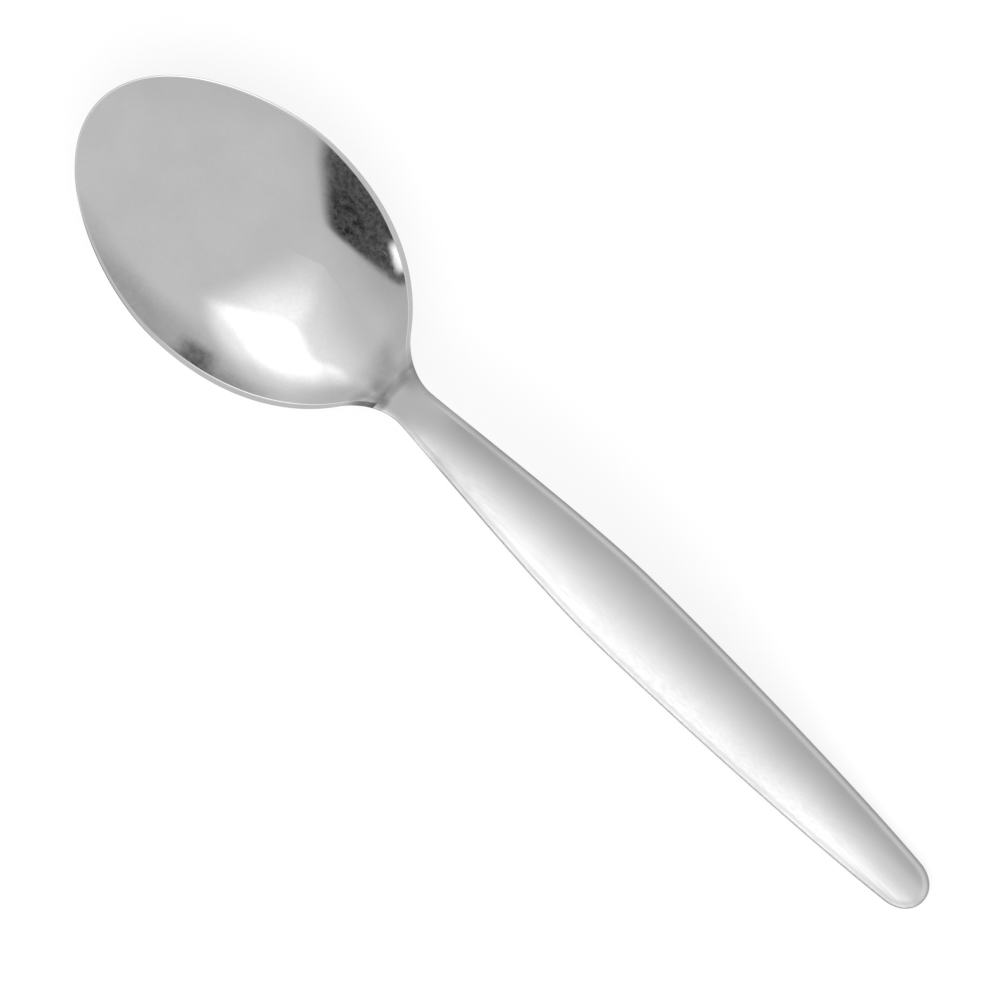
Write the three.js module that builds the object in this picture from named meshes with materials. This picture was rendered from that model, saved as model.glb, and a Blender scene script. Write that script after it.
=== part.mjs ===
// Demitasse spoon, one plain steel pressing, modelled as its bowl, neck and handle.
// Units are millimetres. The spoon lies on the table, z = 0, with its hollow side up.
// +X points from the handle's end to the bowl's tip, and the origin is under the middle of the length.
// A station is a distance along the spoon, measured from the bowl's tip.
import * as THREE from 'three';
import { mergeVertices } from 'three/addons/utils/BufferGeometryUtils.js';

const { lerp, smoothstep, degToRad } = THREE.MathUtils;

// Lengths along the spoon
const BOWL_LENGTH = 40.7;
const NECK_LENGTH = 7.3;
const HANDLE_LENGTH = 66;

// Widths seen from above, and where they fall
const BOWL_WIDTH = 26.3;
const BOWL_WIDEST_FROM_TIP = 20;
const THROAT_WIDTH = 10.5;
const THROAT_BEFORE_SHOULDER = 2.6;
const NECK_WIDTH = 4.35;
const NECK_NARROWEST_FROM_SHOULDER = 2.8;
const HANDLE_WIDTH = 8.5;
const HANDLE_WIDEST_FROM_START = 24;
const HANDLE_END_WIDTH = 5.2;
const END_ROUND_LENGTH = 2.8;

// Directions of the outline, in degrees from the spoon's length
const THROAT_ANGLE = 53.8;
const HANDLE_TAPER_ANGLE = 5.7;

// How far each stretch of the outline keeps its direction at its two ends, as shares of the stretch
const TIP_FULLNESS = [0.332, 0.324];
const FLANK_FULLNESS = [0.502, 0.223];
const THROAT_FULLNESS = [0.419, 0.275];
const SWELL_FULLNESS = [0.059, 0.294];
const TAPER_FULLNESS = [0.256, 0.252];
const END_FULLNESS = [0.39, 0.39];

// The same for the side view
const RIM_REACH = [0.333, 0.333];
const CLIMB_REACH = [0.08, 0.5];
const DESCENT_REACH = [0.42, 0.25];

// Heights and thicknesses of the pressing
const BOWL_DEPTH = 5.5;
const BOWL_GAUGE = 1;
const NECK_THICKNESS = 2;
const HANDLE_THICKNESS = 1.6;
const HANDLE_CROWN = 0.55;
const RIM_RISE = 0.9;
const SHOULDER_CLIMB_ANGLE = 6;
const ARCH_HEIGHT = 10.5;
const ARCH_FROM_SHOULDER = 19.3;
const FOOT_LENGTH = 6;
const WORN_FLAT_DEPTH = 0.16;
const THICKENING_BEFORE_SHOULDER = 10;
const CROWN_RAMP_LENGTH = 1;

// How much deeper the dish lies towards its rear: 0 puts the deepest point half way
const DISH_REAR_BIAS = 0.35;

// How much gentler the dish meets its rim at the throat than at its widest place
const DISH_THROAT_EASE = 0.22;

// How softly the dish rounds over into the neck at the shoulder
const CREASE_ROUNDING = 0.8;

// The flat land and the rounded edges that run all round the outline
const RIM_LAND_AT_TIP = 0.2;
const EDGE_LAND = 0.65;
const RIM_EDGE_HEIGHT = 0.45;
const RIM_LAND_DROP = 0.15;
const HANDLE_LAND_DROP = 0.15;
const RIM_UNDER_RADIUS = 0.15;
const HANDLE_UNDER_RADIUS = 0.3;
const RIM_FLARE_ANGLE = 40;

// Finish of the steel
const POLISHED_COLOUR = 0xd3d4d4;
const SATIN_COLOUR = 0xb4b4b4;
const POLISHED_ROUGHNESS = 0.1;
const SATIN_ROUGHNESS = 0.4;

// Fineness of the surface: sections along each stretch, and faces round a section
const SECTIONS = { tip: 18, flank: 10, throat: 3, waist: 3, neck: 3, swell: 10, taper: 14, end: 8 };
const FACES_ACROSS = 16;
const FACES_ON_LAND = 3;
const FACES_UNDER_EDGE = 2;
const HEIGHT_SAMPLES = 400;
const BISECTIONS = 50;

const SHOULDER = BOWL_LENGTH;
const HANDLE_START = SHOULDER + NECK_LENGTH;
const OVERALL_LENGTH = HANDLE_START + HANDLE_LENGTH;
const THROAT = SHOULDER - THROAT_BEFORE_SHOULDER;
const NARROWEST = SHOULDER + NECK_NARROWEST_FROM_SHOULDER;
const HANDLE_WIDEST = HANDLE_START + HANDLE_WIDEST_FROM_START;
const END_ROUND = OVERALL_LENGTH - END_ROUND_LENGTH;
const THICKENING = SHOULDER - THICKENING_BEFORE_SHOULDER;
const ARCH = SHOULDER + ARCH_FROM_SHOULDER;
const FOOT = OVERALL_LENGTH - FOOT_LENGTH;

// A step of a given length, in a direction given in degrees from the spoon's length
function step(length, angle) {
  return new THREE.Vector2(length, 0).rotateAround(new THREE.Vector2(), degToRad(angle));
}

// A cubic curve between two points, given its direction and its reach at each end
function bend(start, startAngle, end, endAngle, [startReach, endReach]) {
  const span = start.distanceTo(end);
  const leave = start.clone().add(step(span * startReach, startAngle));
  const arrive = end.clone().sub(step(span * endReach, endAngle));
  return new THREE.CubicBezierCurve(start, leave, arrive, end);
}

// The parameter at which a curve that runs along the spoon reaches a station
function parameterAt(curve, station) {
  let low = 0;
  let high = 1;
  for (let i = 0; i < BISECTIONS; i += 1) {
    const middle = (low + high) / 2;
    if (curve.getPoint(middle).x < station) low = middle;
    else high = middle;
  }
  return (low + high) / 2;
}

// Half of the outline seen from above: x is the station, y the half width
const tipPoint = new THREE.Vector2(0, 0);
const widestPoint = new THREE.Vector2(BOWL_WIDEST_FROM_TIP, BOWL_WIDTH / 2);
const throatPoint = new THREE.Vector2(THROAT, THROAT_WIDTH / 2);
const narrowPoint = new THREE.Vector2(NARROWEST, NECK_WIDTH / 2);
const swellPoint = new THREE.Vector2(HANDLE_WIDEST, HANDLE_WIDTH / 2);
const roundPoint = new THREE.Vector2(END_ROUND, HANDLE_END_WIDTH / 2);
const endPoint = new THREE.Vector2(OVERALL_LENGTH, 0);
const outline = {
  tip: bend(tipPoint, 90, widestPoint, 0, TIP_FULLNESS),
  flank: bend(widestPoint, 0, throatPoint, -THROAT_ANGLE, FLANK_FULLNESS),
  throat: bend(throatPoint, -THROAT_ANGLE, narrowPoint, 0, THROAT_FULLNESS),
  swell: bend(narrowPoint, 0, swellPoint, 0, SWELL_FULLNESS),
  taper: bend(swellPoint, 0, roundPoint, -HANDLE_TAPER_ANGLE, TAPER_FULLNESS),
  end: bend(roundPoint, -HANDLE_TAPER_ANGLE, endPoint, -90, END_FULLNESS),
};

// The handle's half width, which stays at its last width where the end turns round
function handleHalfWidth(station) {
  if (station <= NARROWEST) return NECK_WIDTH / 2;
  if (station >= END_ROUND) return HANDLE_END_WIDTH / 2;
  const curve = station < HANDLE_WIDEST ? outline.swell : outline.taper;
  return curve.getPoint(parameterAt(curve, station)).y;
}

// Goes from 0 on the thin bowl to 1 at the neck's narrowest place
function neckShare(station) {
  return smoothstep(station, THICKENING, NARROWEST);
}

// Thickness of the steel under the middle line
function thickness(station) {
  if (station < BOWL_WIDEST_FROM_TIP) {
    const tipShare = 1 - station / BOWL_WIDEST_FROM_TIP;
    return lerp(BOWL_GAUGE, RIM_EDGE_HEIGHT, tipShare ** 2);
  }
  const bowlAndNeck = lerp(BOWL_GAUGE, NECK_THICKNESS, neckShare(station));
  return lerp(bowlAndNeck, HANDLE_THICKNESS, smoothstep(station, NARROWEST, ARCH));
}

// Depth of the dish below its rim on the middle line, running out softly just past the shoulder
function dishShape(share) {
  return share * (1 - share) * (1 + DISH_REAR_BIAS * share);
}
const deepestShare = 1 / (1 - DISH_REAR_BIAS + Math.sqrt(1 + DISH_REAR_BIAS + DISH_REAR_BIAS ** 2));
function dishDepth(station) {
  const toEnd = Math.max(0, SHOULDER + CREASE_ROUNDING - station);
  const softToEnd = Math.hypot(toEnd, CREASE_ROUNDING) - CREASE_ROUNDING;
  const share = Math.max(0, 1 - softToEnd / (BOWL_LENGTH - RIM_LAND_AT_TIP));
  return (BOWL_DEPTH * dishShape(share)) / dishShape(deepestShare);
}

// Share of the dish's depth at a distance across it, from 1 in the middle to 0 at the rim
function dishShare(station, across) {
  const ease = DISH_THROAT_EASE * smoothstep(station, BOWL_WIDEST_FROM_TIP, THROAT);
  return (1 - across ** 2) * (1 - ease * across ** 2);
}

// Height that the handle's crown stands above its edges
function crownHeight(station) {
  const fullCrown = (HANDLE_CROWN * handleHalfWidth(station)) / (HANDLE_WIDTH / 2);
  return fullCrown * smoothstep(station, NARROWEST, HANDLE_START + CROWN_RAMP_LENGTH);
}

// The side view: the rim of the bowl, then the top line of the neck and the handle.
// The rim is as high as lets the worn underside of the bowl stand on the table.
const rim = bend(tipPoint, 0, new THREE.Vector2(SHOULDER, RIM_RISE), SHOULDER_CLIMB_ANGLE, RIM_REACH);
function rimRise(station) {
  return rim.getPoint(parameterAt(rim, station)).y;
}
let lowest = Infinity;
for (let i = 0; i <= HEIGHT_SAMPLES; i += 1) {
  const station = (SHOULDER * i) / HEIGHT_SAMPLES;
  lowest = Math.min(lowest, rimRise(station) - dishDepth(station) - thickness(station));
}
const TIP_HEIGHT = -lowest - WORN_FLAT_DEPTH;
const shoulderTop = new THREE.Vector2(SHOULDER, TIP_HEIGHT + RIM_RISE);
const archTop = new THREE.Vector2(ARCH, ARCH_HEIGHT);
const footTop = new THREE.Vector2(FOOT, HANDLE_THICKNESS);
const climb = bend(shoulderTop, SHOULDER_CLIMB_ANGLE, archTop, 0, CLIMB_REACH);
const descent = bend(archTop, 0, footTop, 0, DESCENT_REACH);
function ridge(station) {
  if (station <= SHOULDER) return TIP_HEIGHT + rimRise(station);
  if (station >= FOOT) return HANDLE_THICKNESS;
  const curve = station < ARCH ? climb : descent;
  return curve.getPoint(parameterAt(curve, station)).y;
}

// Heights of the land, of the outside edge below it and of the underside
function landTop(station) {
  return ridge(station) - crownHeight(station);
}
function edgeHeight(station) {
  return lerp(RIM_EDGE_HEIGHT, thickness(station) - crownHeight(station), neckShare(station));
}
function undersideMiddle(station) {
  return ridge(station) - dishDepth(station) - thickness(station);
}
function undersideEdge(station) {
  return landTop(station) - edgeHeight(station);
}

// A place on the outline, with the direction in which its land runs inwards
function squarePlace(curve, station) {
  return { edge: curve.getPoint(parameterAt(curve, station)), inward: new THREE.Vector2(0, -1) };
}
function roundPlace(curve, share) {
  const t = curve.getUtoTmapping(share);
  const first = curve.v1.clone().sub(curve.v0).multiplyScalar((1 - t) ** 2);
  const second = curve.v2.clone().sub(curve.v1).multiplyScalar(2 * t * (1 - t));
  const third = curve.v3.clone().sub(curve.v2).multiplyScalar(t ** 2);
  const tangent = first.add(second).add(third).normalize();
  return { edge: curve.getPoint(t), inward: new THREE.Vector2(tangent.y, -tangent.x) };
}

// The closed section loop at a place, clockwise as seen from the bowl's tip
function sectionLoop({ edge, inward }) {
  const station = edge.x;
  const share = neckShare(station);
  const landWidth = lerp(RIM_LAND_AT_TIP, EDGE_LAND, smoothstep(station, 0, SHOULDER));
  const landDrop = lerp(RIM_LAND_DROP, HANDLE_LAND_DROP, share);
  const underRadius = lerp(RIM_UNDER_RADIUS, HANDLE_UNDER_RADIUS, share);
  const flare = degToRad(lerp(RIM_FLARE_ANGLE, 0, share));
  const setBack = (distance) => edge.clone().addScaledVector(inward, distance);
  const point = (along, across, height) => new THREE.Vector3(OVERALL_LENGTH / 2 - along, across, height);

  const topEdge = setBack(landWidth);
  const crownShare = topEdge.y / (handleHalfWidth(topEdge.x) - EDGE_LAND);
  const crown = crownHeight(topEdge.x) * crownShare ** 2;
  const top = [];
  for (let i = 0; i <= FACES_ACROSS; i += 1) {
    const across = (2 * i) / FACES_ACROSS - 1;
    const hollow = dishDepth(topEdge.x) * dishShare(topEdge.x, across);
    const height = landTop(topEdge.x) + crown * (1 - across ** 2) - hollow;
    top.push(point(topEdge.x, topEdge.y * across, height));
  }

  const side = [];
  for (let i = 1; i <= FACES_ON_LAND; i += 1) {
    const turn = ((Math.PI / 2) * i) / FACES_ON_LAND;
    const place = setBack(landWidth * (1 - Math.sin(turn)));
    side.push(point(place.x, place.y, landTop(place.x) - landDrop * (1 - Math.cos(turn))));
  }
  for (let i = 0; i < FACES_UNDER_EDGE; i += 1) {
    const turn = lerp(Math.PI / 2, flare, i / FACES_UNDER_EDGE);
    const place = setBack(underRadius * (1 - Math.sin(turn)));
    const lift = underRadius * (Math.cos(flare) - Math.cos(turn));
    side.push(point(place.x, place.y, undersideEdge(place.x) + lift));
  }

  const underEdge = setBack(underRadius * (1 - Math.sin(flare)));
  const edgeLevel = undersideEdge(underEdge.x);
  const belly = edgeLevel - undersideMiddle(underEdge.x);
  const under = [];
  for (let i = 0; i <= FACES_ACROSS; i += 1) {
    const across = 1 - (2 * i) / FACES_ACROSS;
    const bellyShare = underEdge.y > 0 ? dishShare(underEdge.x, across) : 0;
    const height = Math.max(0, edgeLevel - belly * bellyShare);
    under.push(point(underEdge.x, underEdge.y * across, height));
  }

  const otherSide = side.map((p) => new THREE.Vector3(p.x, -p.y, p.z)).reverse();
  return [...top, ...side, ...under, ...otherSide];
}

// Places along the outline from the first station to the last, leaving out the first
function squarePlaces(curve, from, to, count) {
  return Array.from({ length: count }, (_, i) => squarePlace(curve, lerp(from, to, (i + 1) / count)));
}
function roundPlaces(curve, count) {
  return Array.from({ length: count }, (_, i) => roundPlace(curve, (i + 1) / count));
}

// A solid skinned over section loops, closed flat where a neighbouring region goes on
function skin(loops, { flatStart, flatEnd }) {
  const size = loops[0].length;
  const corners = [];
  for (let k = 0; k + 1 < loops.length; k += 1) {
    for (let j = 0; j < size; j += 1) {
      const next = (j + 1) % size;
      const [a, b] = [k * size + j, k * size + next];
      const [c, d] = [a + size, b + size];
      corners.push([a, b, d], [a, d, c]);
    }
  }
  const cap = (k) => {
    const contour = loops[k].map((p) => new THREE.Vector2(p.y, p.z)).reverse();
    const faces = THREE.ShapeUtils.triangulateShape(contour, []);
    return faces.map((face) => face.map((i) => k * size + size - 1 - i));
  };
  if (flatStart) corners.push(...cap(0));
  if (flatEnd) corners.push(...cap(loops.length - 1).map(([a, b, c]) => [a, c, b]));

  const loose = new THREE.BufferGeometry();
  loose.setFromPoints(loops.flat());
  loose.setIndex(corners.flat());
  const geometry = mergeVertices(loose);
  const index = geometry.getIndex().array;
  const whole = [];
  for (let i = 0; i < index.length; i += 3) {
    const [a, b, c] = [index[i], index[i + 1], index[i + 2]];
    if (a !== b && b !== c && c !== a) whole.push(a, b, c);
  }
  geometry.setIndex(whole);
  geometry.computeVertexNormals();
  return geometry;
}

function steel(name, geometry, color, roughness) {
  const material = new THREE.MeshStandardMaterial({ color, metalness: 1, roughness });
  const mesh = new THREE.Mesh(geometry, material);
  mesh.name = name;
  return mesh;
}

const shoulderPlace = squarePlace(outline.throat, SHOULDER);
const handleStartPlace = squarePlace(outline.swell, HANDLE_START);
const bowlPlaces = [
  roundPlace(outline.tip, 0),
  ...roundPlaces(outline.tip, SECTIONS.tip),
  ...squarePlaces(outline.flank, BOWL_WIDEST_FROM_TIP, THROAT, SECTIONS.flank),
  ...squarePlaces(outline.throat, THROAT, SHOULDER, SECTIONS.throat).slice(0, -1),
  shoulderPlace,
];
const neckPlaces = [
  shoulderPlace,
  ...squarePlaces(outline.throat, SHOULDER, NARROWEST, SECTIONS.waist),
  ...squarePlaces(outline.swell, NARROWEST, HANDLE_START, SECTIONS.neck).slice(0, -1),
  handleStartPlace,
];
const handlePlaces = [
  handleStartPlace,
  ...squarePlaces(outline.swell, HANDLE_START, HANDLE_WIDEST, SECTIONS.swell),
  ...roundPlaces(outline.taper, SECTIONS.taper),
  ...roundPlaces(outline.end, SECTIONS.end),
];

const spoon = new THREE.Group();
const loopsOf = (places) => places.map(sectionLoop);
const bowl = skin(loopsOf(bowlPlaces), { flatStart: false, flatEnd: true });
const neck = skin(loopsOf(neckPlaces), { flatStart: true, flatEnd: true });
const handle = skin(loopsOf(handlePlaces), { flatStart: true, flatEnd: false });
spoon.add(steel('bowl', bowl, POLISHED_COLOUR, POLISHED_ROUGHNESS));
spoon.add(steel('neck', neck, SATIN_COLOUR, SATIN_ROUGHNESS));
spoon.add(steel('handle', handle, SATIN_COLOUR, SATIN_ROUGHNESS));

export default spoon;
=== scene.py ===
"""Looks of the demitasse spoon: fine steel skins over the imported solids, a pale floor and studio light.

Lengths of the spoon are written in millimetres and become metres where meshes and lamps are made.
A station is a distance along the spoon, measured from the bowl's tip.
"""

import math

import bpy
import numpy as np
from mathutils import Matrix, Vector


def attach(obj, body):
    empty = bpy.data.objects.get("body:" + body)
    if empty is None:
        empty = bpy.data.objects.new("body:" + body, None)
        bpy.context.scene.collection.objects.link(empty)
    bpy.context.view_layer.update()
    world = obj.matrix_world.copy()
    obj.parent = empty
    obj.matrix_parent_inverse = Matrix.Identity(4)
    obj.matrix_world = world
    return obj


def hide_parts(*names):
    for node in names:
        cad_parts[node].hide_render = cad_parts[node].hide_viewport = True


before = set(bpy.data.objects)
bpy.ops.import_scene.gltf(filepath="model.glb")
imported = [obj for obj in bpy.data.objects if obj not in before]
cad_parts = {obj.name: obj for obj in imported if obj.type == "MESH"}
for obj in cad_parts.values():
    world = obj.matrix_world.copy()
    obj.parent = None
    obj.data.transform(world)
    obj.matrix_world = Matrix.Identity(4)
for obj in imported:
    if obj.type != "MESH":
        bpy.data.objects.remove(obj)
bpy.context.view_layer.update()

METRE = 0.001

# Lengths along the spoon
BOWL_LENGTH = 40.7
NECK_LENGTH = 7.3
HANDLE_LENGTH = 66.0

# Widths seen from above, and where they fall
BOWL_WIDTH = 26.3
BOWL_WIDEST = 20.0
THROAT_WIDTH = 10.5
THROAT_BEFORE_SHOULDER = 2.6
NECK_WIDTH = 4.35
NECK_NARROWEST_FROM_SHOULDER = 2.8
HANDLE_WIDTH = 8.5
HANDLE_WIDEST_FROM_START = 24.0
HANDLE_END_WIDTH = 5.2
END_ROUND_LENGTH = 2.8

# Directions of the outline and the side view, in degrees from the spoon's length
LENGTHWISE = 0.0
CROSSWISE = 90.0
THROAT_ANGLE = 53.8
HANDLE_TAPER_ANGLE = 5.7

# How far each stretch of the outline keeps its direction at its two ends, as shares of the stretch
TIP_FULLNESS = (0.332, 0.324)
FLANK_FULLNESS = (0.502, 0.223)
THROAT_FULLNESS = (0.419, 0.275)
SWELL_FULLNESS = (0.059, 0.294)
TAPER_FULLNESS = (0.256, 0.252)
END_FULLNESS = (0.39, 0.39)

# The same for the side view
RIM_REACH = (0.333, 0.333)
CLIMB_REACH = (0.08, 0.5)
DESCENT_REACH = (0.42, 0.25)

# Heights and thicknesses of the pressing
BOWL_DEPTH = 5.5
BOWL_GAUGE = 1.0
NECK_THICKNESS = 2.0
HANDLE_THICKNESS = 1.6
HANDLE_CROWN = 0.55
RIM_RISE = 0.9
SHOULDER_CLIMB_ANGLE = 6.0
ARCH_HEIGHT = 10.5
ARCH_FROM_SHOULDER = 19.3
FOOT_LENGTH = 6.0
WORN_FLAT_DEPTH = 0.16
THICKENING_BEFORE_SHOULDER = 10.0
CROWN_RAMP_LENGTH = 1.0
DISH_REAR_BIAS = 0.35
DISH_THROAT_EASE = 0.22
CREASE_ROUNDING = 0.8

# The flat land and the rounded edges that run all round the outline
RIM_LAND_AT_TIP = 0.2
EDGE_LAND = 0.65
RIM_EDGE_HEIGHT = 0.45
RIM_LAND_DROP = 0.15
HANDLE_LAND_DROP = 0.15
RIM_UNDER_RADIUS = 0.15
HANDLE_UNDER_RADIUS = 0.3
RIM_FLARE_ANGLE = 40.0

# Fineness of the skins
TIP_SECTIONS = 80
FLANK_SECTIONS = 60
THROAT_SECTIONS = 26
WAIST_SECTIONS = 24
NECK_SECTIONS = 14
SWELL_SECTIONS = 60
TAPER_SECTIONS = 90
END_SECTIONS = 24
FACES_ACROSS = 64
FACES_ON_LAND = 8
FACES_UNDER_EDGE = 4
EDGE_CROWDING = 0.85
CURVE_SAMPLES = 4000
HEIGHT_SAMPLES = 400
BISECTIONS = 50
MERGE_DECIMALS = 9
SHORTEST_NORMAL = 1e-20

SHOULDER = BOWL_LENGTH
HANDLE_START = SHOULDER + NECK_LENGTH
OVERALL_LENGTH = HANDLE_START + HANDLE_LENGTH
THROAT = SHOULDER - THROAT_BEFORE_SHOULDER
NARROWEST = SHOULDER + NECK_NARROWEST_FROM_SHOULDER
HANDLE_WIDEST = HANDLE_START + HANDLE_WIDEST_FROM_START
END_ROUND = OVERALL_LENGTH - END_ROUND_LENGTH
THICKENING = SHOULDER - THICKENING_BEFORE_SHOULDER
ARCH = SHOULDER + ARCH_FROM_SHOULDER
FOOT = OVERALL_LENGTH - FOOT_LENGTH


def blend(low, high, share):
    return low + (high - low) * share


def smoothstep(value, low, high):
    share = np.clip((value - low) / (high - low), 0.0, 1.0)
    return share * share * (3.0 - 2.0 * share)


def step(length, angle):
    turn = math.radians(angle)
    return length * np.array([math.cos(turn), math.sin(turn)])


def bend(start, start_angle, end, end_angle, reach):
    """A cubic curve between two points, given its direction and its reach at each end."""
    start = np.array(start, float)
    end = np.array(end, float)
    span = np.linalg.norm(end - start)
    leave = start + step(span * reach[0], start_angle)
    arrive = end - step(span * reach[1], end_angle)
    return np.stack([start, leave, arrive, end])


def point_on(curve, parameter):
    t = np.asarray(parameter, float)[..., None]
    near = (1 - t) ** 3 * curve[0] + 3 * t * (1 - t) ** 2 * curve[1]
    far = 3 * t**2 * (1 - t) * curve[2] + t**3 * curve[3]
    return near + far


def tangent_on(curve, parameter):
    t = np.asarray(parameter, float)[..., None]
    legs = np.diff(curve, axis=0)
    way = (1 - t) ** 2 * legs[0] + 2 * t * (1 - t) * legs[1] + t**2 * legs[2]
    return way / np.linalg.norm(way, axis=-1, keepdims=True)


def parameter_at(curve, station):
    station = np.asarray(station, float)
    low = np.zeros_like(station)
    high = np.ones_like(station)
    for _ in range(BISECTIONS):
        middle = (low + high) / 2
        before = point_on(curve, middle)[..., 0] < station
        low = np.where(before, middle, low)
        high = np.where(before, high, middle)
    return (low + high) / 2


def value_at(curve, station):
    inside = np.clip(station, curve[0, 0], curve[3, 0])
    return point_on(curve, parameter_at(curve, inside))[..., 1]


# Half of the outline seen from above: the station, then the half width
tip_point = (0.0, 0.0)
widest_point = (BOWL_WIDEST, BOWL_WIDTH / 2)
throat_point = (THROAT, THROAT_WIDTH / 2)
narrow_point = (NARROWEST, NECK_WIDTH / 2)
swell_point = (HANDLE_WIDEST, HANDLE_WIDTH / 2)
round_point = (END_ROUND, HANDLE_END_WIDTH / 2)
end_point = (OVERALL_LENGTH, 0.0)
tip_curve = bend(tip_point, CROSSWISE, widest_point, LENGTHWISE, TIP_FULLNESS)
flank_curve = bend(widest_point, LENGTHWISE, throat_point, -THROAT_ANGLE, FLANK_FULLNESS)
throat_curve = bend(throat_point, -THROAT_ANGLE, narrow_point, LENGTHWISE, THROAT_FULLNESS)
swell_curve = bend(narrow_point, LENGTHWISE, swell_point, LENGTHWISE, SWELL_FULLNESS)
taper_curve = bend(swell_point, LENGTHWISE, round_point, -HANDLE_TAPER_ANGLE, TAPER_FULLNESS)
end_curve = bend(round_point, -HANDLE_TAPER_ANGLE, end_point, -CROSSWISE, END_FULLNESS)


def handle_half_width(station):
    swelling = value_at(swell_curve, station)
    tapering = value_at(taper_curve, station)
    return np.where(station < HANDLE_WIDEST, swelling, tapering)


def neck_share(station):
    return smoothstep(station, THICKENING, NARROWEST)


def thickness(station):
    tip_share = np.clip(1 - station / BOWL_WIDEST, 0.0, 1.0)
    front = blend(BOWL_GAUGE, RIM_EDGE_HEIGHT, tip_share**2)
    rear = blend(BOWL_GAUGE, NECK_THICKNESS, neck_share(station))
    rear = blend(rear, HANDLE_THICKNESS, smoothstep(station, NARROWEST, ARCH))
    return np.where(station < BOWL_WIDEST, front, rear)


def dish_shape(share):
    return share * (1 - share) * (1 + DISH_REAR_BIAS * share)


# The share at which the dish shape is largest
deepest_share = 1 / (1 - DISH_REAR_BIAS + math.sqrt(1 + DISH_REAR_BIAS + DISH_REAR_BIAS**2))


def dish_depth(station):
    to_end = np.maximum(0.0, SHOULDER + CREASE_ROUNDING - station)
    soft_to_end = np.hypot(to_end, CREASE_ROUNDING) - CREASE_ROUNDING
    share = np.maximum(0.0, 1 - soft_to_end / (BOWL_LENGTH - RIM_LAND_AT_TIP))
    return BOWL_DEPTH * dish_shape(share) / dish_shape(deepest_share)


def dish_share(station, across):
    ease = DISH_THROAT_EASE * smoothstep(station, BOWL_WIDEST, THROAT)
    return (1 - across**2) * (1 - ease * across**2)


def crown_height(station):
    full_crown = HANDLE_CROWN * handle_half_width(station) / (HANDLE_WIDTH / 2)
    return full_crown * smoothstep(station, NARROWEST, HANDLE_START + CROWN_RAMP_LENGTH)


# The side view: the rim of the bowl, then the top line of the neck and the handle
rim_end = (SHOULDER, RIM_RISE)
rim_curve = bend(tip_point, LENGTHWISE, rim_end, SHOULDER_CLIMB_ANGLE, RIM_REACH)
bowl_stations = np.linspace(0, SHOULDER, HEIGHT_SAMPLES + 1)
bowl_undersides = value_at(rim_curve, bowl_stations) - dish_depth(bowl_stations) - thickness(bowl_stations)
TIP_HEIGHT = -bowl_undersides.min() - WORN_FLAT_DEPTH
shoulder_top = (SHOULDER, TIP_HEIGHT + RIM_RISE)
arch_top = (ARCH, ARCH_HEIGHT)
foot_top = (FOOT, HANDLE_THICKNESS)
climb_curve = bend(shoulder_top, SHOULDER_CLIMB_ANGLE, arch_top, LENGTHWISE, CLIMB_REACH)
descent_curve = bend(arch_top, LENGTHWISE, foot_top, LENGTHWISE, DESCENT_REACH)


def ridge(station):
    rim = TIP_HEIGHT + value_at(rim_curve, station)
    climb = value_at(climb_curve, station)
    descent = value_at(descent_curve, station)
    return np.where(station <= SHOULDER, rim, np.where(station < ARCH, climb, descent))


def land_top(station):
    return ridge(station) - crown_height(station)


def underside_edge(station):
    rear = thickness(station) - crown_height(station)
    return land_top(station) - blend(RIM_EDGE_HEIGHT, rear, neck_share(station))


def underside_middle(station):
    return ridge(station) - dish_depth(station) - thickness(station)


def square_places(curve, start, stop, count, crowd_at_stop=False, crowd_at_start=False):
    """Places on the outline whose sections lie square across the spoon, leaving out the first."""
    share = np.linspace(0, 1, count + 1)[1:]
    if crowd_at_stop:
        share = 1 - (1 - share) ** 2
    if crowd_at_start:
        share = share**2
    edge = point_on(curve, parameter_at(curve, blend(start, stop, share)))
    return edge, np.tile([0.0, -1.0], (count, 1))


def round_places(curve, count):
    """Places evenly spaced round a turn of the outline, with the land running square to the outline."""
    fine = np.linspace(0, 1, CURVE_SAMPLES + 1)
    lengths = np.linalg.norm(np.diff(point_on(curve, fine), axis=0), axis=1)
    walked = np.concatenate([[0.0], np.cumsum(lengths)])
    parameter = np.interp(np.linspace(0, walked[-1], count + 1), walked, fine)
    tangent = tangent_on(curve, parameter)
    inward = np.stack([tangent[:, 1], -tangent[:, 0]], axis=1)
    return point_on(curve, parameter), inward


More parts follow.
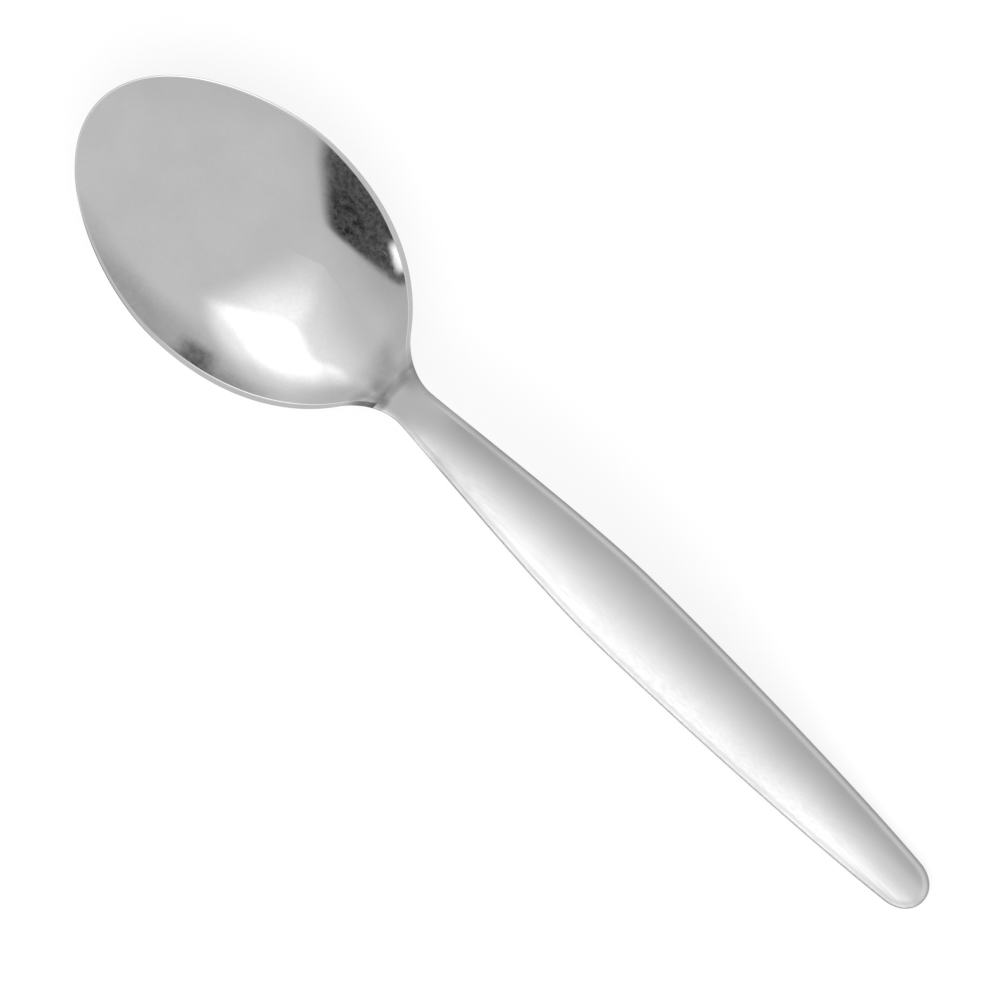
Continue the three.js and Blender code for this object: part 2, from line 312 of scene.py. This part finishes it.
def section_loops(edge, inward):
    """Closed section loops, one for each place, as points in millimetres."""
    station = edge[:, 0]
    share = neck_share(station)
    land_width = blend(RIM_LAND_AT_TIP, EDGE_LAND, smoothstep(station, 0, SHOULDER))
    land_drop = blend(RIM_LAND_DROP, HANDLE_LAND_DROP, share)
    under_radius = blend(RIM_UNDER_RADIUS, HANDLE_UNDER_RADIUS, share)
    flare = np.radians(blend(RIM_FLARE_ANGLE, 0.0, share))

    def set_back(distance):
        return edge + inward * np.asarray(distance)[:, None]

    def points(along, across, height):
        return np.stack([OVERALL_LENGTH / 2 - along, across, height], axis=-1)

    even = np.linspace(-1, 1, FACES_ACROSS + 1)
    crowded = np.sin(even * math.pi / 2)
    acrosses = blend(even, crowded, EDGE_CROWDING)

    top_edge = set_back(land_width)
    crown_share = top_edge[:, 1] / (handle_half_width(top_edge[:, 0]) - EDGE_LAND)
    crown = crown_height(top_edge[:, 0]) * crown_share**2
    depth = dish_depth(top_edge[:, 0])
    land_level = land_top(top_edge[:, 0])
    top = []
    for across in acrosses:
        height = land_level + crown * (1 - across**2) - depth * dish_share(top_edge[:, 0], across)
        top.append(points(top_edge[:, 0], top_edge[:, 1] * across, height))

    side = []
    for turn in np.linspace(0, math.pi / 2, FACES_ON_LAND + 1)[1:]:
        place = set_back(land_width * (1 - math.sin(turn)))
        height = land_top(place[:, 0]) - land_drop * (1 - math.cos(turn))
        side.append(points(place[:, 0], place[:, 1], height))
    for share_down in np.linspace(0, 1, FACES_UNDER_EDGE + 1)[:-1]:
        turn = blend(math.pi / 2, flare, share_down)
        place = set_back(under_radius * (1 - np.sin(turn)))
        height = underside_edge(place[:, 0]) + under_radius * (np.cos(flare) - np.cos(turn))
        side.append(points(place[:, 0], place[:, 1], height))

    under_place = set_back(under_radius * (1 - np.sin(flare)))
    edge_level = underside_edge(under_place[:, 0])
    belly = edge_level - underside_middle(under_place[:, 0])
    belly = np.where(under_place[:, 1] > 0, belly, 0.0)
    under = []
    for across in acrosses[::-1]:
        height = np.maximum(0.0, edge_level - belly * dish_share(under_place[:, 0], across))
        under.append(points(under_place[:, 0], under_place[:, 1] * across, height))

    other_side = [place * np.array([1.0, -1.0, 1.0]) for place in reversed(side)]
    return np.stack(top + side + under + other_side, axis=1)


# The places from the bowl's tip to the handle's end, where each stretch but the first leaves out its start
stretches = [
    round_places(tip_curve, TIP_SECTIONS),
    square_places(flank_curve, BOWL_WIDEST, THROAT, FLANK_SECTIONS),
    square_places(throat_curve, THROAT, SHOULDER, THROAT_SECTIONS, crowd_at_stop=True),
    square_places(throat_curve, SHOULDER, NARROWEST, WAIST_SECTIONS, crowd_at_start=True),
    square_places(swell_curve, NARROWEST, HANDLE_START, NECK_SECTIONS),
    square_places(swell_curve, HANDLE_START, HANDLE_WIDEST, SWELL_SECTIONS),
    tuple(values[1:] for values in round_places(taper_curve, TAPER_SECTIONS)),
    tuple(values[1:] for values in round_places(end_curve, END_SECTIONS)),
]
all_edges = np.concatenate([edge for edge, _ in stretches])
all_inwards = np.concatenate([inward for _, inward in stretches])
loops = section_loops(all_edges, all_inwards) * METRE
shoulder_row = TIP_SECTIONS + FLANK_SECTIONS + THROAT_SECTIONS
handle_row = shoulder_row + WAIST_SECTIONS + NECK_SECTIONS
last_row = len(loops) - 1
loop_size = loops.shape[1]


def grid_faces(first_row, last):
    """Four-cornered faces between neighbouring section loops."""
    faces = []
    for row in range(first_row, last):
        for column in range(loop_size):
            after = (column + 1) % loop_size
            here = row * loop_size
            there = here + loop_size
            faces.append((here + column, here + after, there + after, there + column))
    return faces


# Points that fall together at the tip and the end become one
all_points = loops.reshape(-1, 3)
merged_points, merged_index = np.unique(np.round(all_points, MERGE_DECIMALS), axis=0, return_inverse=True)
merged_index = merged_index.reshape(-1)


def whole_face(face):
    """A face on the merged points, with each corner once."""
    corners = []
    for corner in merged_index[list(face)]:
        if corner not in corners:
            corners.append(int(corner))
    return corners


def skin_normals():
    """Normals over the whole spoon, so that its regions meet without a seam."""
    normals = np.zeros_like(merged_points)
    for face in grid_faces(0, last_row):
        a, b, c, d = merged_points[merged_index[list(face)]]
        facing = np.cross(c - a, d - b)
        for corner in whole_face(face):
            normals[corner] += facing
    lengths = np.linalg.norm(normals, axis=1, keepdims=True)
    return normals / np.maximum(lengths, SHORTEST_NORMAL)


normals_everywhere = skin_normals()
TO_TIP = (1.0, 0.0, 0.0)
TO_HANDLE_END = (-1.0, 0.0, 0.0)


def make_skin(name, first_row, last, flat_start, flat_end):
    """One region of the spoon as a closed mesh, with a flat face where it meets the next region."""
    faces = [whole_face(face) for face in grid_faces(first_row, last)]
    faces = [face for face in faces if len(face) > 2]
    corner_normals = [normals_everywhere[corner] for face in faces for corner in face]
    caps = []
    if flat_start:
        row = first_row * loop_size
        caps.append((range(row + loop_size - 1, row - 1, -1), TO_TIP))
    if flat_end:
        row = last * loop_size
        caps.append((range(row, row + loop_size), TO_HANDLE_END))
    for cap, facing in caps:
        faces.append(whole_face(cap))
        corner_normals.extend([facing] * len(faces[-1]))
    used = sorted({corner for face in faces for corner in face})
    local = {corner: i for i, corner in enumerate(used)}
    mesh = bpy.data.meshes.new(name)
    mesh.from_pydata(merged_points[used].tolist(), [], [[local[c] for c in face] for face in faces])
    mesh.polygons.foreach_set("use_smooth", [True] * len(mesh.polygons))
    mesh.normals_split_custom_set([tuple(normal) for normal in corner_normals])
    mesh.update()
    piece = bpy.data.objects.new(name, mesh)
    bpy.context.scene.collection.objects.link(piece)
    return piece


bowl = make_skin("bowl_skin", 0, shoulder_row, False, True)
neck = make_skin("neck_skin", shoulder_row, handle_row, True, True)
handle = make_skin("handle_skin", handle_row, last_row, True, False)


class Nodes:
    """Short ways to add nodes to one node tree."""

    def __init__(self, tree):
        self.tree = tree
        tree.nodes.clear()

    def add(self, kind, **settings):
        node = self.tree.nodes.new(kind)
        for key, value in settings.items():
            setattr(node, key, value)
        return node

    def put(self, socket, value):
        if isinstance(value, bpy.types.NodeSocket):
            self.tree.links.new(value, socket)
        else:
            socket.default_value = value

    def math(self, operation, first, second=0.0):
        node = self.add("ShaderNodeMath", operation=operation)
        self.put(node.inputs[0], first)
        self.put(node.inputs[1], second)
        return node.outputs[0]

    def split(self, vector):
        node = self.add("ShaderNodeSeparateXYZ")
        self.put(node.inputs["Vector"], vector)
        return node.outputs

    def normal(self):
        return self.add("ShaderNodeNewGeometry").outputs["Normal"]

    def vector(self, operation, *values):
        node = self.add("ShaderNodeVectorMath", operation=operation)
        for socket, value in zip(node.inputs, values):
            self.put(socket, value)
        return node.outputs["Vector"]

    def dot(self, first, second):
        node = self.add("ShaderNodeVectorMath", operation="DOT_PRODUCT")
        self.put(node.inputs[0], first)
        self.put(node.inputs[1], second)
        return node.outputs["Value"]

    def product(self, first, *others):
        for other in others:
            first = self.math("MULTIPLY", first, other)
        return first

    def less(self, level, loss):
        return self.math("MULTIPLY", level, self.math("SUBTRACT", 1.0, loss))

    def ramp(self, value, low, high, start=0.0, stop=1.0):
        node = self.add("ShaderNodeMapRange", interpolation_type="SMOOTHSTEP")
        self.put(node.inputs["Value"], value)
        for key, number in (("From Min", low), ("From Max", high), ("To Min", start), ("To Max", stop)):
            node.inputs[key].default_value = number
        return node.outputs["Result"]

    def mix(self, share, first, second):
        node = self.add("ShaderNodeMix", data_type="FLOAT")
        self.put(node.inputs["Factor"], share)
        self.put(node.inputs["A"], first)
        self.put(node.inputs["B"], second)
        return node.outputs["Result"]

    def mapping(self, vector, scale, turn=0.0):
        node = self.add("ShaderNodeMapping")
        self.put(node.inputs["Vector"], vector)
        node.inputs["Rotation"].default_value = (0.0, 0.0, math.radians(turn))
        node.inputs["Scale"].default_value = scale
        return node.outputs["Vector"]

    def noise(self, vector, scale=1.0, detail=2.0, roughness=0.5):
        node = self.add("ShaderNodeTexNoise")
        self.put(node.inputs["Vector"], vector)
        node.inputs["Scale"].default_value = scale
        node.inputs["Detail"].default_value = detail
        node.inputs["Roughness"].default_value = roughness
        return node.outputs["Fac"]

    def grey(self, value):
        node = self.add("ShaderNodeCombineColor")
        for channel in ("Red", "Green", "Blue"):
            self.put(node.inputs[channel], value)
        return node.outputs["Color"]

    def bump(self, height, distance, normal=None):
        node = self.add("ShaderNodeBump")
        node.inputs["Distance"].default_value = distance
        self.put(node.inputs["Height"], height)
        if normal is not None:
            self.put(node.inputs["Normal"], normal)
        return node.outputs["Normal"]


# Finish of the steel: reflectance and roughness, each between two levels
POLISHED_LEVELS = (0.645, 0.675)
POLISHED_ROUGHNESS = (0.03, 0.06)
# The satin's reflectance lies below the polished steel's as painted shade; its roughness is the real satin
# finish
SATIN_SHADED_LEVELS = (0.44, 0.46)
SATIN_ROUGHNESS = (0.36, 0.46)
HAZE_SHARE = 0.16
SCRATCH_ROUGHNESS = 0.08

# Noise that the finish follows: marks to a metre, detail and, where it isn't the usual one, roughness
POLISH_CLOUDS = (220.0, 3.0)
POLISH_SPECKS = (1500.0, 2.0)
POLISH_HAZE = (1800.0, 4.0, 0.7)
POLISH_RIPPLE = (900.0, 2.0)
SCRATCH_PATCHES = (150.0, 1.0)
SATIN_CLOUDS = (180.0, 3.0)
SATIN_LINES_PER_METRE = (60.0, 6000.0, 6000.0)

# The stretch of the noise over which a finish goes from one level to the other
NOISE_STRETCH = (0.3, 0.7)
LINE_STRETCH = (0.25, 0.75)
PATCH_STRETCH = (0.45, 0.7)

# Scratches: direction in degrees, length in metres, and the upper share of the noise that they take.
# One width in metres serves them all.
SCRATCHES = [(20, 0.006, 0.3), (-35, 0.004, 0.3), (75, 0.005, 0.28)]
SCRATCH_WIDTH = 0.0002
SCRATCH_SOFTNESS = 0.06
SCRATCH_DETAIL = 1.0

# Heights of the relief in metres
RIPPLE_HEIGHT = 0.0000015
SCRATCH_DEPTH = 0.0000008
SATIN_LINE_DEPTH = 0.000002

# Painted shade, mostly at the shoulder crease, where it also dims reflections, and a darker strip toward the
# handle's end: station, strength, and the distances along and the places across between which they fade.
# The whole width begins outside the spoon's side at the shoulder.
WHOLE_WIDTH = (-9.0, -8.0)
BOWL_PAINTED_SHADE = [
    (SHOULDER, 0.35, (0.1, 0.7), WHOLE_WIDTH),
    (SHOULDER, 0.5, (1.0, 2.6), (-0.4, 1.4)),
    (SHOULDER, 0.25, (0.6, 2.0), (-0.6, -1.6)),
    (SHOULDER, 0.3, (1.2, 2.4), (1.6, 2.6)),
]
SATIN_PAINTED_SHADE = [
    (SHOULDER, 0.4, (0.6, 1.1), (0.8, 1.7)),
    (SHOULDER, 0.35, (0.4, 2.6), (-0.2, -1.7)),
    (OVERALL_LENGTH, 0.18, (1.5, 12.0), (-0.8, 0.4)),
]

# A face counts as an upper one as the upward part of its normal goes from the first value to the second
UPPER_FACING = (0.3, 0.7)

# The bowl's polish fades over these distances past the shoulder
POLISH_RUN = (0.0, 16.0)

# Painted shade on the trimmed edge wall: its loss of reflectance, how level its face may lie, and the places
# across where it fades
EDGE_SHADE_LOSS = 0.4
EDGE_FACING = (0.3, 0.8)
EDGE_ACROSS = (-2.0, 1.0)

# The polished rounding of the handle's edges, and the distances past its start over which it begins
EDGE_ROUNDING = 0.5
EDGE_ROUNDING_FADE = (0.5, 2.5)
EDGE_ROUNDING_SAMPLES = 8


def x_of(station):
    """Where a station lies along X, in metres."""
    return (OVERALL_LENGTH / 2 - station) * METRE


def hairlines(nodes, place, turn, spacing, length, share):
    """Thin straight scratches in one direction, 1 on a scratch and 0 between."""
    stretched = nodes.mapping(place, (1 / length, 1 / spacing, 1 / length), turn)
    lines = nodes.noise(stretched, detail=SCRATCH_DETAIL)
    return nodes.ramp(lines, 1 - share, 1 - share + SCRATCH_SOFTNESS)


def with_painted_shade(nodes, place, level, shade_patches):
    """The reflectance darkened by painted shade on the upper faces of the steel."""
    parts = nodes.split(place)
    upper = nodes.ramp(nodes.split(nodes.normal())["Z"], *UPPER_FACING)
    for station, strength, along, across in shade_patches:
        away = nodes.math("ABSOLUTE", nodes.math("SUBTRACT", parts["X"], x_of(station)))
        near = nodes.ramp(away, along[0] * METRE, along[1] * METRE, 1.0, 0.0)
        side = nodes.ramp(parts["Y"], across[0] * METRE, across[1] * METRE)
        level = nodes.less(level, nodes.product(near, side, upper, strength))
    return level


def painted_edge_shade(nodes, place, level):
    """The reflectance darkened as painted shade on the trimmed edge wall, most on one side."""
    parts = nodes.split(place)
    slope = nodes.math("ABSOLUTE", nodes.split(nodes.normal())["Z"])
    wall = nodes.ramp(slope, *EDGE_FACING, 1.0, 0.0)
    side = nodes.ramp(parts["Y"], EDGE_ACROSS[0] * METRE, EDGE_ACROSS[1] * METRE)
    along = nodes.ramp(parts["X"], x_of(HANDLE_WIDEST), x_of(SHOULDER), 1.0, 0.0)
    return nodes.less(level, nodes.product(wall, side, along, EDGE_SHADE_LOSS))


def polish_share(nodes, place):
    """How much of the bowl's polish runs on under the neck and along its sides, from the shoulder on."""
    lower = nodes.ramp(nodes.split(nodes.normal())["Z"], *UPPER_FACING, 1.0, 0.0)
    begin, gone = [x_of(SHOULDER + past) for past in POLISH_RUN]
    near = nodes.ramp(nodes.split(place)["X"], gone, begin)
    return nodes.product(lower, near)


def rounded_edges(nodes, place):
    """The normal of the handle with its edge lands rounded by polishing, from a little past the neck on."""
    begin, full = [x_of(HANDLE_START + past) for past in EDGE_ROUNDING_FADE]
    share = nodes.ramp(nodes.split(place)["X"], full, begin, 1.0, 0.0)
    flat = nodes.normal()
    rounded = nodes.add("ShaderNodeBevel", samples=EDGE_ROUNDING_SAMPLES)
    rounded.inputs["Radius"].default_value = EDGE_ROUNDING * METRE
    turned = nodes.vector("SUBTRACT", rounded.outputs["Normal"], flat)
    return nodes.vector("NORMALIZE", nodes.vector("MULTIPLY_ADD", turned, share, flat))


def polished_steel():
    """A soft mirror with fine wear, a thin mottled haze and painted shade in the crease."""
    material = bpy.data.materials.new("bowl_polish")
    material.use_nodes = True
    nodes = Nodes(material.node_tree)
    place = nodes.add("ShaderNodeTexCoord").outputs["Object"]
    scratches = 0.0
    for turn, length, share in SCRATCHES:
        lines = hairlines(nodes, place, turn, SCRATCH_WIDTH, length, share)
        scratches = nodes.math("MAXIMUM", lines, scratches)
    patches = nodes.ramp(nodes.noise(place, *SCRATCH_PATCHES), *PATCH_STRETCH)
    scratches = nodes.product(scratches, patches)

    shader = nodes.add("ShaderNodeBsdfPrincipled")
    metallic = nodes.ramp(nodes.noise(place, *POLISH_HAZE), *NOISE_STRETCH, 1.0, 1 - HAZE_SHARE)
    nodes.put(shader.inputs["Metallic"], metallic)
    level = nodes.ramp(nodes.noise(place, *POLISH_CLOUDS), *NOISE_STRETCH, *POLISHED_LEVELS)
    # Painted shade at the crease darkens the bowl's reflectance
    nodes.put(shader.inputs["Base Color"], nodes.grey(with_painted_shade(nodes, place, level, BOWL_PAINTED_SHADE)))
    rough = nodes.ramp(nodes.noise(place, *POLISH_SPECKS), *NOISE_STRETCH, *POLISHED_ROUGHNESS)
    rough = nodes.math("ADD", rough, nodes.product(scratches, SCRATCH_ROUGHNESS))
    nodes.put(shader.inputs["Roughness"], rough)
    normal = nodes.bump(nodes.noise(place, *POLISH_RIPPLE), RIPPLE_HEIGHT)
    normal = nodes.bump(scratches, SCRATCH_DEPTH, normal)
    nodes.put(shader.inputs["Normal"], normal)
    output = nodes.add("ShaderNodeOutputMaterial")
    nodes.put(output.inputs["Surface"], shader.outputs["BSDF"])
    return material


def satin_steel():
    """Fine lengthwise polishing lines and a reflectance lowered as painted shade, most on one edge wall and
    near the crease, with the bowl's polish fading out below.
    """
    material = bpy.data.materials.new("handle_satin")
    material.use_nodes = True
    nodes = Nodes(material.node_tree)
    place = nodes.add("ShaderNodeTexCoord").outputs["Object"]
    lines = nodes.noise(nodes.mapping(place, SATIN_LINES_PER_METRE))
    polish = polish_share(nodes, place)

    shader = nodes.add("ShaderNodeBsdfPrincipled")
    shader.inputs["Metallic"].default_value = 1.0
    # The satin's reflectance is lowered as painted shade
    level = nodes.ramp(nodes.noise(place, *SATIN_CLOUDS), *NOISE_STRETCH, *SATIN_SHADED_LEVELS)
    # Painted shade near the crease, toward the handle's end and on one edge wall darkens the satin's
    # reflectance
    level = painted_edge_shade(nodes, place, with_painted_shade(nodes, place, level, SATIN_PAINTED_SHADE))
    level = nodes.mix(polish, level, sum(POLISHED_LEVELS) / 2)
    nodes.put(shader.inputs["Base Color"], nodes.grey(level))
    rough = nodes.ramp(lines, *LINE_STRETCH, *SATIN_ROUGHNESS)
    nodes.put(shader.inputs["Roughness"], nodes.mix(polish, rough, POLISHED_ROUGHNESS[1]))
    normal = nodes.bump(lines, SATIN_LINE_DEPTH, rounded_edges(nodes, place))
    nodes.put(shader.inputs["Normal"], normal)
    output = nodes.add("ShaderNodeOutputMaterial")
    nodes.put(output.inputs["Surface"], shader.outputs["BSDF"])
    return material


polished = polished_steel()
satin = satin_steel()
for piece, node, material, slot in (
    (bowl, "bowl", polished, "polished_steel"),
    (neck, "neck", satin, "satin_steel"),
    (handle, "handle", satin, "satin_steel"),
):
    piece.data.materials.append(material)
    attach(piece, "root")
    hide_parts(node)

# The camera looks straight down, turned so that the spoon lies from upper left to lower right.
# The turn is in degrees and the rest in millimetres.
PICTURE_TURN = 224.17
PICTURE_CENTRE = (0.93, 0.65)
PICTURE_WIDTH = 99.05
PICTURE_HEIGHT_LEVEL = 6.0
LENS = 600.0
SENSOR = 36.0
camera_data = bpy.data.cameras.new("camera")
camera_data.lens = LENS
camera_data.sensor_width = SENSOR
camera = bpy.data.objects.new("camera", camera_data)
camera_height = PICTURE_WIDTH * LENS / SENSOR + PICTURE_HEIGHT_LEVEL
camera.location = Vector((PICTURE_CENTRE[0], PICTURE_CENTRE[1], camera_height)) * METRE
camera.rotation_euler = (0.0, 0.0, math.radians(PICTURE_TURN))
bpy.context.scene.collection.objects.link(camera)
bpy.context.scene.camera = camera

# The pale floor, white to the camera and to the steel, and darker in the spoon's soft shadow.
# Its half width and its level, just under the spoon, are in metres.
FLOOR_HALF = 1.5
FLOOR_LEVEL = -0.00003
FLOOR_COLOUR = (0.92, 0.92, 0.92, 1.0)
SHADOW_SHARE = 0.2
floor_mesh = bpy.data.meshes.new("floor")
floor_corners = [
    (-FLOOR_HALF, -FLOOR_HALF, FLOOR_LEVEL),
    (FLOOR_HALF, -FLOOR_HALF, FLOOR_LEVEL),
    (FLOOR_HALF, FLOOR_HALF, FLOOR_LEVEL),
    (-FLOOR_HALF, FLOOR_HALF, FLOOR_LEVEL),
]
floor_mesh.from_pydata(floor_corners, [], [(0, 1, 2, 3)])
floor = bpy.data.objects.new("floor", floor_mesh)
bpy.context.scene.collection.objects.link(floor)


def floor_material():
    material = bpy.data.materials.new("pale_floor")
    material.use_nodes = True
    nodes = Nodes(material.node_tree)
    path = nodes.add("ShaderNodeLightPath")
    seen = nodes.math("MAXIMUM", path.outputs["Is Camera Ray"], path.outputs["Is Glossy Ray"])
    seen = nodes.math("MAXIMUM", seen, path.outputs["Is Transmission Ray"])
    white = nodes.add("ShaderNodeEmission")
    matt = nodes.add("ShaderNodeBsdfDiffuse")
    matt.inputs["Color"].default_value = FLOOR_COLOUR
    mix = nodes.add("ShaderNodeMixShader")
    nodes.put(mix.inputs["Fac"], nodes.math("MULTIPLY", seen, 1 - SHADOW_SHARE))
    nodes.put(mix.inputs[1], matt.outputs["BSDF"])
    nodes.put(mix.inputs[2], white.outputs["Emission"])
    output = nodes.add("ShaderNodeOutputMaterial")
    nodes.put(output.inputs["Surface"], mix.outputs["Shader"])
    return material


floor_mesh.materials.append(floor_material())

# The studio round the spoon: a pale room with darker flags, and soft lamps, drawn on a plan of the ceiling.
# The plan's right and up are the picture's. A point's distance from its middle is its angle from overhead.
# An edge is a direction on the plan, the angle at which the card starts that way, and half its soft border.
# Before its edges, a flag has the share of the light that it takes away, and a lamp's card its strength.
picture_right = Vector((math.cos(math.radians(PICTURE_TURN)), math.sin(math.radians(PICTURE_TURN)), 0.0))
picture_up = Vector((-picture_right[1], picture_right[0], 0.0))
OVERHEAD = Vector((0.0, 0.0, 1.0))
WHITE = (1.0, 1.0, 1.0, 1.0)
ROOM_LEVEL = 0.75
FLAGS = [
    (0.90, [(172, 45, 5), (238, 48.5, 2.5), (90, -61, 11)]),
    (0.70, [(247, 42, 2), (172, 46, 5), (0, -66, 6), (90, -40, 6)]),
    (0.70, [(224, 60.5, 1), (191, 74, 1.5), (101, 4, 2)]),
    (0.30, [(180, 55, 25), (241, 35, 15)]),
    (0.30, [(135, 61, 5), (45, -36, 12), (225, -26, 10)]),
    (0.12, [(135, 62, 8)]),
    (0.27, [(45, 66, 7)]),
    (0.12, [(15, 64, 4)]),
    (0.08, [(290, 50, 12)]),
    (0.35, [(72, 77, 2.5)]),
    (0.70, [(57, 73, 3), (147, -4, 4), (327, -8, 4)]),
]
SMALL_LAMPS = [
    (1.7, [(191, 77, 0.7), (198, 76.6, 0.7), (101, -7.5, 3), (281, -4, 2)]),
]
BOWL_CARDS = [
    (0.48, [(0, -25, 30), (127, 12, 8), (180, -33, 5), (207, -54, 6), (270, -69.5, 11)]),
    (0.30, [(323, -28, 4), (127, 22, 9), (0, -30, 10), (207, -43, 6), (270, -69.5, 11)]),
    (0.60, [(0, -6, 5), (90, 38, 5), (207, -43, 6), (270, -69.5, 11)]),
    (0.35, [(0, -19, 4), (90, 58, 4), (207, -43, 6), (270, -69.5, 11)]),
]
HANDLE_CARDS = [
    (1.8, [(226, 4, 42), (316, -28, 12), (46, -50, 8)]),
    (0.8, [(226, 26, 14), (316, -28, 12), (46, -50, 8)]),
]


def plan_of(nodes, direction):
    """The place on the plan that lies in a direction."""
    sideways = nodes.add("ShaderNodeCombineXYZ")
    nodes.put(sideways.inputs["X"], nodes.dot(direction, picture_right))
    nodes.put(sideways.inputs["Y"], nodes.dot(direction, picture_up))
    heading = nodes.vector("NORMALIZE", sideways.outputs["Vector"])
    angle = nodes.math("DEGREES", nodes.math("ARCCOSINE", nodes.dot(direction, OVERHEAD)))
    plan = nodes.add("ShaderNodeVectorMath", operation="SCALE")
    nodes.put(plan.inputs[0], heading)
    nodes.put(plan.inputs["Scale"], angle)
    return plan.outputs["Vector"]


def card(nodes, plan, edges):
    """1 inside all the edges of a card and 0 outside, with soft borders."""
    share = 1.0
    for turn, start, soft in edges:
        way = (math.cos(math.radians(turn)), math.sin(math.radians(turn)), 0.0)
        inside = nodes.ramp(nodes.dot(plan, way), start - soft, start + soft)
        share = nodes.product(inside, share)
    return share


def lit_cards(nodes, plan, cards, level):
    """A level of light with bright cards added."""
    for strength, edges in cards:
        level = nodes.math("ADD", nodes.product(card(nodes, plan, edges), strength), level)
    return level


def studio_world():
    """The room round the spoon, darkened by the flags, and white where the camera sees it."""
    world = bpy.data.worlds.new("studio")
    bpy.context.scene.world = world
    world.use_nodes = True
    nodes = Nodes(world.node_tree)
    plan = plan_of(nodes, nodes.add("ShaderNodeTexCoord").outputs["Generated"])
    level = ROOM_LEVEL
    for share, edges in FLAGS:
        level = nodes.less(level, nodes.product(card(nodes, plan, edges), share))
    level = lit_cards(nodes, plan, SMALL_LAMPS, level)
    path = nodes.add("ShaderNodeLightPath")
    shown = nodes.mix(path.outputs["Is Camera Ray"], level, 1.0)
    background = nodes.add("ShaderNodeBackground")
    nodes.put(background.inputs["Strength"], shown)
    background.inputs["Color"].default_value = WHITE
    output = nodes.add("ShaderNodeOutputWorld")
    nodes.put(output.inputs["Surface"], background.outputs["Background"])


# The two lamps: what they aim at, their distance and their width in metres, and their lean in degrees
BOWL_MIDDLE = Vector((0.037, 0.0, 0.004))
HANDLE_MIDDLE = Vector((-0.024, 0.0, 0.006))
BOX_DISTANCE = 0.4
BOWL_BOX_SIZE = 1.1
BOWL_BOX_LEAN = 45.0
HANDLE_BOX_SIZE = 1.4
HANDLE_BOX_LEAN = 0.0


def soft_box(name, target, from_overhead, size, cards, receivers):
    """A square lamp leaning to the picture's top. Its cards, seen from a target, light only the receivers."""
    lean = math.radians(from_overhead)
    toward = math.sin(lean) * picture_up + math.cos(lean) * OVERHEAD
    data = bpy.data.lights.new(name, "AREA")
    data.shape = "SQUARE"
    data.size = size
    # The power grows with the area, so that the lamp's size leaves the brightness of its cards alone
    data.energy = math.pi * size**2
    data.use_nodes = True
    nodes = Nodes(data.node_tree)
    position = nodes.add("ShaderNodeNewGeometry").outputs["Position"]
    direction = nodes.vector("NORMALIZE", nodes.vector("SUBTRACT", position, target))
    emission = nodes.add("ShaderNodeEmission")
    plan = plan_of(nodes, direction)
    nodes.put(emission.inputs["Strength"], lit_cards(nodes, plan, cards, 0.0))
    output = nodes.add("ShaderNodeOutputLight")
    nodes.put(output.inputs["Surface"], emission.outputs["Emission"])
    lamp = bpy.data.objects.new(name, data)
    lamp.location = target + BOX_DISTANCE * toward
    lamp.rotation_euler = toward.to_track_quat("Z", "Y").to_euler()
    lamp.visible_camera = False
    bpy.context.scene.collection.objects.link(lamp)
    lit = bpy.data.collections.new("lit_by_" + name)
    for receiver in receivers:
        lit.objects.link(receiver)
    lamp.light_linking.receiver_collection = lit


studio_world()
soft_box("bowl_box", BOWL_MIDDLE, BOWL_BOX_LEAN, BOWL_BOX_SIZE, BOWL_CARDS, [bowl])
soft_box("handle_box", HANDLE_MIDDLE, HANDLE_BOX_LEAN, HANDLE_BOX_SIZE, HANDLE_CARDS, [neck, handle, floor])

bpy.context.scene.view_settings.view_transform = "Standard"
